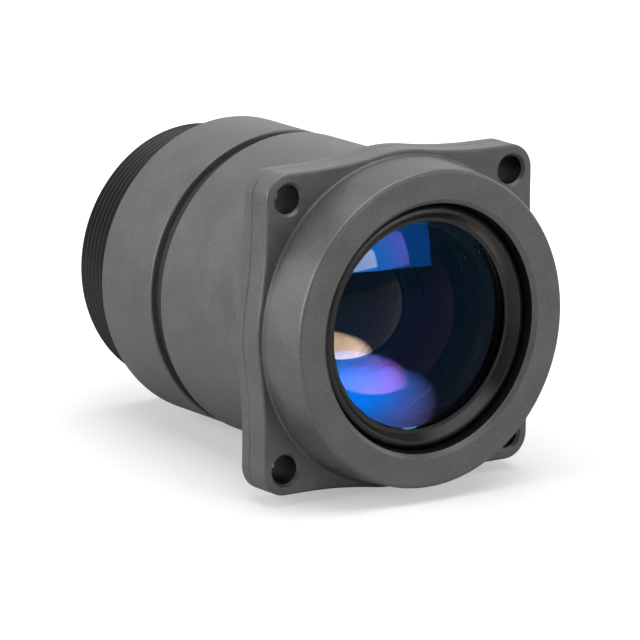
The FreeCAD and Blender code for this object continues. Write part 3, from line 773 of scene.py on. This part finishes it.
# %% The table
REST_FRONT = place(FLANGE_REAR - EDGE_ROUND, -SWELL)
REST_REAR = place(CAMERA_SEAT - REAR_EDGE, -REAR_RADIUS)
TABLE_REACH = 3.0
TABLE_GAP = 0.05 * MM
rest_line = REST_REAR - REST_FRONT
rest_tilt = math.atan2(rest_line.z, rest_line.y)
print("table tips by", round(math.degrees(rest_tilt), 2), "degrees")

bm = bmesh.new()
bmesh.ops.create_grid(bm, x_segments=8, y_segments=8, size=TABLE_REACH)
bmesh.ops.rotate(bm, cent=(0, 0, 0), matrix=Matrix.Rotation(rest_tilt, 3, "X"), verts=bm.verts[:])
bmesh.ops.translate(bm, vec=REST_FRONT - Vector((0, 0, TABLE_GAP)), verts=bm.verts[:])
table = mesh_object("table", bm)

# %% [markdown]
# The table is pale paint. For the camera it also glows a little, more so away from the lens, so
# that it runs into the white backdrop while the shadow stays; the weaker glow close to the lens is
# painted shade round it. The polished glass, which sees the table by singular rays, is shown a
# painted dim table with a bright painted reflection, a glowing spot where a card would lie in front
# of the lens: that spot gives the pale patch low in the glass, and it lights nothing else.

# %% Paint the table
# a bright spot painted on the table for singular rays only, which the glass shows as a pale reflection
PAINTED_REFLECTION_SPOT = (-0.003, -0.041, -0.0264)
PAINTED_REFLECTION_INNER, PAINTED_REFLECTION_OUTER = 0.010, 0.032
PAINTED_REFLECTION_STRENGTH, PAINTED_DIM_TABLE = 32.0, 0.15
GLOW_NEAR_PAINTED_SHADE, GLOW_FAR = 0.40, 0.75
GLOW_START, GLOW_END = 0.05, 0.16


def white_table():
    finish = Finish("table_white")
    mottle = finish.noise(40.0, detail=2.0)
    tone = finish.blend(mottle, (0.58, 0.58, 0.58, 1), (0.60, 0.60, 0.60, 1))
    finish.set(Base_Color=tone, Roughness=0.9)
    lit = finish.node("ShaderNodeEmission", Color=(1, 1, 1, 1))
    far = finish.node("ShaderNodeVectorMath", {"operation": "LENGTH"})
    finish.feed(finish.coordinates, far.inputs[0])
    # the weaker glow close to the lens is painted shade round it
    glow_with_painted_shade = finish.between(far.outputs["Value"], GLOW_NEAR_PAINTED_SHADE, GLOW_FAR, GLOW_START, GLOW_END)
    rays = finish.nodes.new("ShaderNodeLightPath")
    seen = finish.node("ShaderNodeMath", {"operation": "MULTIPLY"})
    finish.feed(rays.outputs["Is Camera Ray"], seen.inputs[0])
    finish.feed(glow_with_painted_shade, seen.inputs[1])
    finish.feed(seen.outputs[0], lit.inputs["Strength"])
    both = finish.nodes.new("ShaderNodeAddShader")
    finish.feed(finish.shader.outputs[0], both.inputs[0])
    finish.feed(lit.outputs[0], both.inputs[1])
    spot = finish.node("ShaderNodeVectorMath", {"operation": "DISTANCE"})
    finish.feed(finish.coordinates, spot.inputs[0])
    finish.feed(PAINTED_REFLECTION_SPOT, spot.inputs[1])
    # for singular rays the table is a painted reflection: a dim glow, with a bright spot where a card
    # would lie
    painted_reflection_level = finish.between(spot.outputs["Value"], PAINTED_REFLECTION_STRENGTH, PAINTED_DIM_TABLE, PAINTED_REFLECTION_INNER, PAINTED_REFLECTION_OUTER)
    painted_reflection_glow = finish.node("ShaderNodeEmission", Color=(1, 0.84, 0.82, 1), Strength=painted_reflection_level)
    mix = finish.nodes.new("ShaderNodeMixShader")
    finish.feed(rays.outputs["Is Singular Ray"], mix.inputs[0])
    finish.feed(both.outputs[0], mix.inputs[1])
    finish.feed(painted_reflection_glow.outputs[0], mix.inputs[2])
    finish.feed(mix.outputs[0], finish.nodes["Material Output"].inputs["Surface"])
    return finish.material


table.data.materials.append(white_table())
print("table painted, half", TABLE_REACH, "m across")

# %% [markdown]
# The camera sees a plain white room. What the glass and the metal mirror is a studio: white
# behind the lens, where the backdrop is, and dark on the photographer's side. Matt faces get a
# faint, even light from all round. Light Path tells the rays apart, and the ray's own direction
# tells front from back.

# %% The surroundings
world = bpy.data.worlds.new("studio")
bpy.context.scene.world = world
world.use_nodes = True
nodes, links = world.node_tree.nodes, world.node_tree.links
DARK_SIDE, FILL = 0.04, 0.15
# the part of the ray's Y over which the dark front turns into the white back
TURN_START, TURN_END = -0.15, 0.35


def shade(colour, strength):
    made = nodes.new("ShaderNodeBackground")
    made.inputs["Color"].default_value = (*colour, 1)
    made.inputs["Strength"].default_value = strength
    return made.outputs[0]


def choose(factor, first, second):
    made = nodes.new("ShaderNodeMixShader")
    for socket, value in zip(made.inputs, (factor, first, second)):
        links.new(value, socket)
    return made.outputs[0]


ways = nodes.new("ShaderNodeSeparateXYZ")
links.new(nodes.new("ShaderNodeTexCoord").outputs["Object"], ways.inputs[0])
behind = nodes.new("ShaderNodeMapRange")
behind.inputs["From Min"].default_value = TURN_START
behind.inputs["From Max"].default_value = TURN_END
links.new(ways.outputs["Y"], behind.inputs["Value"])
rays = nodes.new("ShaderNodeLightPath")
white = shade((1, 1, 1), 1.0)
mirrored = choose(behind.outputs["Result"], shade((0.95, 0.97, 1.0), DARK_SIDE), white)
room = choose(rays.outputs["Is Glossy Ray"], shade((0.96, 0.98, 1.0), FILL), mirrored)
room = choose(rays.outputs["Is Transmission Ray"], room, mirrored)
room = choose(rays.outputs["Is Camera Ray"], room, white)
links.new(room, nodes["World Output"].inputs["Surface"])
nodes.remove(nodes["Background"])
print("studio:", len(nodes), "nodes")

# %% [markdown]
# Four soft boxes light the lens. The top one is the largest and lights the top faces. The left
# one lights the barrel's side. The front one lights the ring and is the blue patch in the
# glass, so it is a wide, low rectangle. The right one only lifts the shadow on that side.

# %% Softboxes
def direction(azimuth, elevation):
    """The way towards a light. Azimuth 0 is straight in front, and 90 is to the right."""
    turn, rise = math.radians(azimuth), math.radians(elevation)
    return Vector((math.sin(turn) * math.cos(rise), -math.cos(turn) * math.cos(rise), math.sin(rise)))


def softbox(name, azimuth, elevation, distance, width, height, radiance, roll=0):
    """A flat lamp that faces the lens. Its power follows from its size and its radiance."""
    lamp = bpy.data.lights.new(name, "AREA")
    lamp.shape = "RECTANGLE"
    lamp.size, lamp.size_y = width, height
    lamp.energy = radiance * math.pi * width * height
    box = bpy.data.objects.new(name, lamp)
    away = direction(azimuth, elevation)
    turn = away.to_track_quat("Z", "Y") @ Matrix.Rotation(math.radians(roll), 3, "Z").to_quaternion()
    box.matrix_world = Matrix.Translation(away * distance) @ turn.to_matrix().to_4x4()
    bpy.context.scene.collection.objects.link(box)
    print(name, round(lamp.energy, 2), "W")


softbox("front_softbox", 21, 14, 0.8, 0.50, 0.22, 5.0, roll=-6)
softbox("left_softbox", -98, 18, 0.8, 0.55, 0.5, 5.3)
softbox("right_softbox", 74, 20, 0.8, 0.4, 0.4, 2.5)
softbox("top_softbox", 0, 84, 0.9, 1.1, 0.9, 3.0)

# %% [markdown]
# The camera stands in front of the lens, to its left and a little above it, about a metre away
# with a long lens. Its place and its small roll were fitted to the circles and edges that a
# picture of the real lens shows, so the two can be laid over each other.

# %% The camera
AZIMUTH, ELEVATION, ROLL = math.radians(-35.604), math.radians(12.929), math.radians(0.67)
AIM_DEPTH, AIM_RIGHT, AIM_UP, RANGE = 0.3, 0.016962, -0.001433, 0.9816
SENSOR_MM, FOCAL_MM = 36, 362.9

back = Vector((math.sin(AZIMUTH) * math.cos(ELEVATION), -math.cos(AZIMUTH) * math.cos(ELEVATION),
               math.sin(ELEVATION)))
level_right = Vector((math.cos(AZIMUTH), math.sin(AZIMUTH), 0))
level_up = back.cross(level_right)
right = math.cos(ROLL) * level_right + math.sin(ROLL) * level_up
up = math.cos(ROLL) * level_up - math.sin(ROLL) * level_right
target = place(AIM_DEPTH, 0) - AIM_RIGHT * right - AIM_UP * up

lens_data = bpy.data.cameras.new("camera")
lens_data.sensor_width = SENSOR_MM
lens_data.lens = FOCAL_MM
lens_data.clip_end = 20
camera = bpy.data.objects.new("camera", lens_data)
turn = Matrix((right, up, back)).transposed()
camera.matrix_world = Matrix.Translation(target + RANGE * back) @ turn.to_4x4()
bpy.context.scene.collection.objects.link(camera)
bpy.context.scene.camera = camera
print("camera at", [round(part, 3) for part in camera.matrix_world.translation])

# %% [markdown]
# ## Colours
#
# The colours are shown as they are.

# %% Colours
bpy.context.scene.view_settings.view_transform = "Standard"
